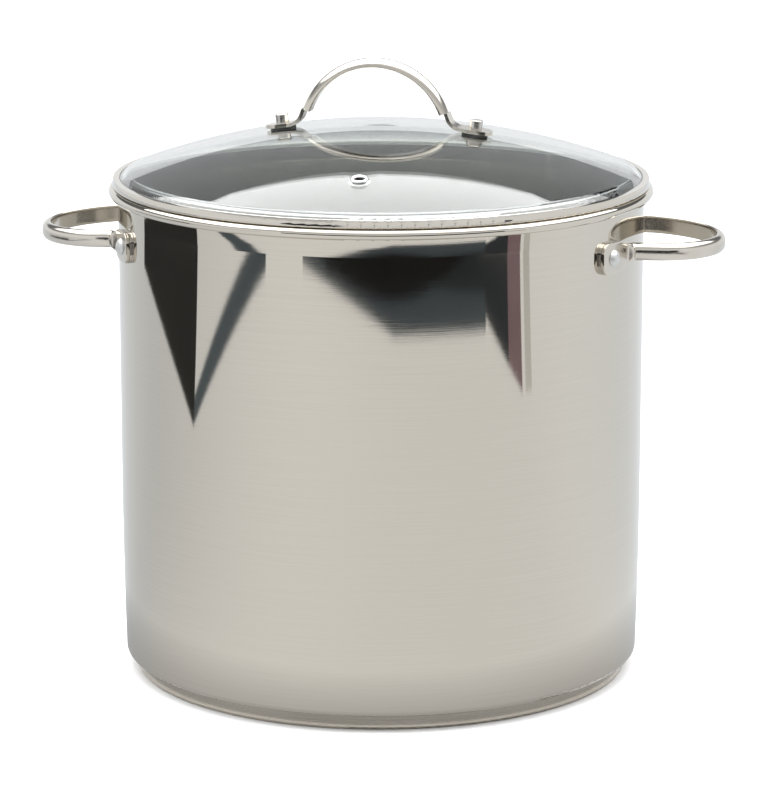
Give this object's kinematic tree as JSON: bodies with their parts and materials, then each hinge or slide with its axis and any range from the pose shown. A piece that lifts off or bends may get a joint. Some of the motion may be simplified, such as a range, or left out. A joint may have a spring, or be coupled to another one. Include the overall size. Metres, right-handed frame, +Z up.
{
  "type": "stock pot",
  "caption": "Tall stainless stock pot with a sandwich base, riveted loop handles and a vented domed glass lid that lifts off.",
  "frame": {"origin": "centre of the base, on the floor", "axes": "+Z up through the pot; +X through the right side handle; -Y is the front, where the steam vent is"},
  "size_m": [0.3934, 0.3106, 0.3532],
  "materials": {
    "pot_steel": "fine circumferential satin over polish",
    "base_steel": "turned satin",
    "base_aluminium": "raw",
    "handle_steel": "polished outside, brushed on the flat",
    "plate_steel": "polished",
    "rivet_steel": "satin",
    "lid_glass": "clear, faintly green",
    "band_steel": "polished",
    "clear_silicone": "matt, translucent",
    "dark_silicone": "matt",
    "fastener_steel": "turned",
    "eyelet_steel": "polished"
  },
  "bodies": {
    "pot": {"pot_body": "pot_steel", "base_cap": "base_steel", "base_core": "base_aluminium", "left_handle": "handle_steel", "right_handle": "handle_steel", "left_front_plate": "plate_steel", "left_rear_plate": "plate_steel", "right_front_plate": "plate_steel", "right_rear_plate": "plate_steel", "left_handle_rivets": "rivet_steel", "right_handle_rivets": "rivet_steel"},
    "lid": {"lid_glass": "lid_glass", "lid_band": "band_steel", "band_sealant": "clear_silicone", "lid_handle": "handle_steel", "lid_cap_nuts": "fastener_steel", "lid_screws": "fastener_steel", "left_upper_gasket": "dark_silicone", "right_upper_gasket": "dark_silicone", "left_hole_bushing": "dark_silicone", "right_hole_bushing": "dark_silicone", "left_lower_gasket": "dark_silicone", "right_lower_gasket": "dark_silicone", "left_lower_washer": "fastener_steel", "right_lower_washer": "fastener_steel", "vent_eyelet": "eyelet_steel", "vent_gasket": "clear_silicone", "vent_washer": "eyelet_steel"}
  },
  "joints": [
    {"name": "lid_lift", "type": "slide", "parent": "pot", "child": "lid", "axis": [0, 0, 1], "range_m": [0, 0.25]}
  ]
}
